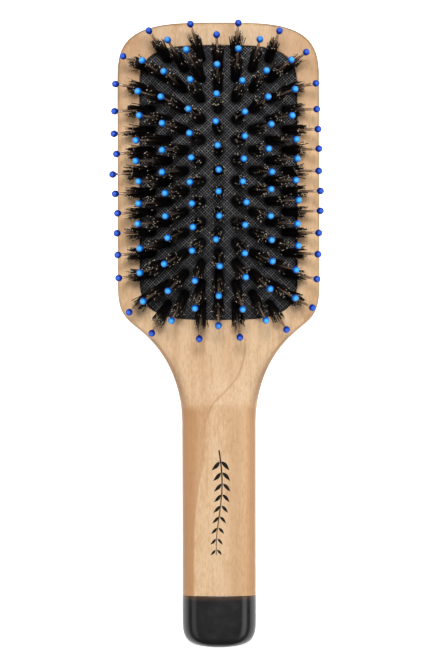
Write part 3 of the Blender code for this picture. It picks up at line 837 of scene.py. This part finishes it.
def make_tufts(number, tufts, material, body):
    """Three-sided tapering hairs for every tuft of one row."""
    rng = np.random.default_rng(FILAMENT_SEED + number)
    sides = FILAMENT_SIDES
    points, faces, along, tone = [], [], [], []
    for base, axis in tufts:
        lines, radii, tones = tuft_filaments(base, axis, rng)
        side, other = (np.array(v) for v in side_axes(axis))
        for line, taper, shade in zip(lines, radii, tones):
            turn = rng.uniform(0, 2 * math.pi)
            start = len(points)
            for stop, centre, radius in zip(FILAMENT_STOPS, line, taper):
                for corner in range(sides):
                    angle = turn + 2 * math.pi * corner / sides
                    spoke = math.cos(angle) * side + math.sin(angle) * other
                    points.append(tuple(centre + radius * spoke))
                    along.append(stop)
                    tone.append(shade)
            end = len(points) - sides
            for a in range(start, end, sides):
                for i in range(sides):
                    j = (i + 1) % sides
                    faces.append((a + i, a + j, a + sides + j, a + sides + i))
            faces.append(tuple(reversed(range(start, start + sides))))
            faces.append(tuple(range(end, end + sides)))
    mesh = bpy.data.meshes.new(f"tufts_row_{number}")
    mesh.from_pydata(points, [], faces)
    for name, values in (("along", along), ("tone", tone)):
        layer = mesh.attributes.new(name, "FLOAT", "POINT")
        layer.data.foreach_set("value", np.array(values, np.float32))
    mesh.materials.append(material)
    mesh.shade_smooth()
    obj = link_object(mesh.name, mesh)
    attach(obj, body)
    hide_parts(f"tuft_row_{number}")


def pin_profile():
    """(distance along the axis, radius, is ball) up a pin, to just short of its pole."""
    reach = BALL_RADIUS * BALL_STRETCH
    profile = [(-SHAFT_DEPTH, SHAFT_RADIUS, False), (PIN_LENGTH * 0.5, SHAFT_RADIUS, False),
               (PIN_LENGTH - reach * 1.25, SHAFT_RADIUS, False),
               (PIN_LENGTH - reach * 1.02, SHAFT_RADIUS * COLLAR_WIDENING, True)]
    for i in range(BALL_STEPS):
        angle = -math.pi / 2 + BALL_NECK
        angle += (math.pi / 2 - angle) * i / BALL_STEPS
        profile.append((PIN_LENGTH + reach * math.sin(angle), BALL_RADIUS * math.cos(angle), True))
    return profile


def make_pins(number, tufts, nylon, resin, body):
    """Clear shafts with blue balls for every tuft of one row."""
    bm = bmesh.new()
    painted_light_layer = bm.verts.layers.float.new("pole")
    deep_shade_layer = bm.verts.layers.float.new("outer")
    side_shade_layer = bm.verts.layers.float.new("wall")
    profile = pin_profile()
    up = Vector((0.0, 0.0, 1.0))
    for base, axis in tufts:
        side, other = side_axes(axis)
        centre = base + axis * PIN_LENGTH
        # painted light: the balls are made lightest on the side half-way between their axis and
        # straight up
        lit_side = (axis + up).normalized()
        level = axis.cross(up).normalized()
        # painted shade: outside the ring the balls are painted a deeper blue
        beyond = max(abs(centre.x) - DEEP_RING_HALF_WIDTH,
                     abs(centre.y - DEEP_RING_Y) - DEEP_RING_HALF_LENGTH)
        outer = smoothstep(beyond / DEEP_RING_FADE)

        def add_vert(point, wall=0.0):
            vert = bm.verts.new(point)
            vert[side_shade_layer] = wall
            vert[painted_light_layer] = ((point - centre).dot(lit_side) / BALL_RADIUS + 1.0) / 2.0
            vert[deep_shade_layer] = outer
            return vert

        previous = None
        for distance, radius, is_ball in profile:
            ring = []
            for i in range(SHAFT_SIDES):
                angle = 2 * math.pi * i / SHAFT_SIDES
                spoke = side * math.cos(angle) + other * math.sin(angle)
                # painted shade: "wall" is 1 where the shaft's surface faces level and square to its
                # axis
                wall = abs(spoke.dot(level))
                ring.append(add_vert(base + axis * distance + spoke * radius, wall))
            if previous is None:
                bm.faces.new(ring)
            else:
                for i in range(SHAFT_SIDES):
                    j = (i + 1) % SHAFT_SIDES
                    face = bm.faces.new((previous[i], previous[j], ring[j], ring[i]))
                    face.material_index = int(is_ball)
            previous = ring
        pole = add_vert(centre + axis * BALL_RADIUS * BALL_STRETCH)
        for i in range(SHAFT_SIDES):
            face = bm.faces.new((previous[i], previous[(i + 1) % SHAFT_SIDES], pole))
            face.material_index = 1
    pins = finish_mesh(f"pins_row_{number}", bm, nylon, SOFT_ANGLE)
    pins.data.materials.append(resin)
    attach(pins, body)
    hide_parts(f"pin_row_{number}")


def body_of_row(number):
    """The moving body that carries this row."""
    bodies = frame["record"]["behaviour"]["bodies"]
    return next(name for name, nodes in bodies.items() if f"tuft_row_{number}" in nodes)


# ---------------------------------------------------------------- printed sprig

def on_handle(x, y, lift):
    """Point on the handle's crowned face, lifted off it."""
    half, _, high, crown, _ = section_shape(y)
    return (x, y, high - crown * (x / half) ** 2 + lift)


def make_print(material):
    """A plain leaf sprig along the handle, in place of printing."""
    def stem(share):
        x = SPRIG_SWAY * math.sin(share * math.pi * 2 * SPRIG_WAVES)
        return Vector((x, SPRIG_START_Y + (SPRIG_END_Y - SPRIG_START_Y) * share))

    right, left = [], []
    for i in range(SPRIG_STEPS + 1):
        share = i / SPRIG_STEPS
        edge = Vector((STEM_HALF_WIDTH * (1.0 - STEM_TAPER * share), 0.0))
        right.append(stem(share) + edge)
        left.append(stem(share) - edge)
    shapes = [(right, left)]
    for i in range(LEAF_PAIRS):
        share = FIRST_LEAF + (LAST_LEAF - FIRST_LEAF) * i / (LEAF_PAIRS - 1)
        size = 1.0 - LEAF_TAPER * share
        for turn in (LEAF_TURN, -LEAF_TURN):
            heading = Vector((math.sin(turn), -math.cos(turn)))
            across = Vector((-heading.y, heading.x))
            upper, lower = [], []
            for k in range(LEAF_STEPS + 1):
                t = k / LEAF_STEPS
                bulge = LEAF_WIDTH * size * math.sin(math.pi * t ** LEAF_FULLNESS) + LEAF_LEAST
                spine = stem(share) + heading * (LEAF_LENGTH * size * t + LEAF_STALK)
                upper.append(spine + across * bulge)
                lower.append(spine - across * bulge * LEAF_UNDERSIDE)
            shapes.append((upper, lower))

    bm = bmesh.new()
    for first, second in shapes:
        rows = []
        for one, two in zip(first, second):
            corners = ((one, INK), (two, INK), (two, -INK), (one, -INK))
            rows.append([bm.verts.new(on_handle(*place, lift)) for place, lift in corners])
        for a, b in zip(rows, rows[1:]):
            skin(bm, a, b)
        bm.faces.new(rows[0])
        bm.faces.new(rows[-1])
    sprig = finish_mesh("handle_print", bm, material, SOFT_ANGLE)
    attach(sprig, "paddle")


# ---------------------------------------------------------------- studio

def add_light(name, place, size, energy):
    data = bpy.data.lights.new(name, "AREA")
    data.shape = "RECTANGLE"
    data.size, data.size_y = size
    data.energy = energy
    light = link_object(name, data)
    light.location = place
    light.rotation_euler = (Vector(place) - LIGHT_TARGET).to_track_quat("Z", "Y").to_euler()


def make_world():
    """White at the horizon, as the floor is, and dim overhead."""
    world = bpy.data.worlds.new("studio")
    world.use_nodes = True
    nodes, links = world.node_tree.nodes, world.node_tree.links
    split = nodes.new("ShaderNodeSeparateXYZ")
    links.new(nodes.new("ShaderNodeTexCoord").outputs["Generated"], split.inputs[0])
    dim = nodes.new("ShaderNodeMapRange")
    for socket, value in HORIZON.items():
        dim.inputs[socket].default_value = value
    links.new(split.outputs["Z"], dim.inputs["Value"])
    background = nodes["Background"]
    background.inputs["Color"].default_value = rgb(1.0, 1.0, 1.0)
    links.new(dim.outputs["Result"], background.inputs["Strength"])
    bpy.context.scene.world = world


def make_studio():
    bm = bmesh.new()
    bmesh.ops.create_grid(bm, x_segments=1, y_segments=1, size=FLOOR_HALF)
    s = Shader("studio_floor", {"Roughness": 0.9, "Emission Color": rgb(1.0, 1.0, 1.0),
                                "Emission Strength": FLOOR_GLOW})
    grain = s.noise(s.place(), 30.0)
    s.set("Base Color", s.mix(grain, rgb(0.90, 0.90, 0.90), rgb(0.92, 0.92, 0.92)))
    floor = finish_mesh("studio_floor", bm, s.material)
    floor.location.z = -FLOOR_DROP
    make_world()
    add_light("softbox_key", (0.0, 0.36, 1.46), (0.36, 0.30), 15.0)
    add_light("softbox_left", (-0.88, -0.15, 0.97), (0.8, 0.7), 1.75)
    add_light("softbox_right", (0.88, -0.15, 0.97), (0.8, 0.7), 3.4)


def make_camera():
    """Straight down on the bristle face, from far off."""
    data = bpy.data.cameras.new("camera")
    data.sensor_width = SENSOR_WIDTH
    data.lens = SENSOR_WIDTH * CAMERA_DISTANCE * PIXELS_PER_METRE / IMAGE_HEIGHT
    data.clip_end = CAMERA_CLIP_END
    camera = link_object("camera", data)
    camera.location = (CAMERA_X, CAMERA_Y, HEAD_THICKNESS + CAMERA_DISTANCE)
    camera.rotation_euler.z = CAMERA_TURN
    bpy.context.scene.camera = camera


# ---------------------------------------------------------------- assembly

def main():
    bpy.context.scene.view_settings.view_transform = "Standard"
    make_camera()
    make_studio()

    tufts = tuft_layout()
    make_paddle(wood_material())
    make_lacquer_end(lacquer_material())
    make_cushion(tufts, cushion_material())
    make_print(print_material())
    bristle, nylon, resin = bristle_material(), nylon_material(), ball_material()
    for number, row in enumerate(tufts, start=1):
        body = body_of_row(number)
        make_tufts(number, row, bristle, body)
        make_pins(number, row, nylon, resin, body)


main()
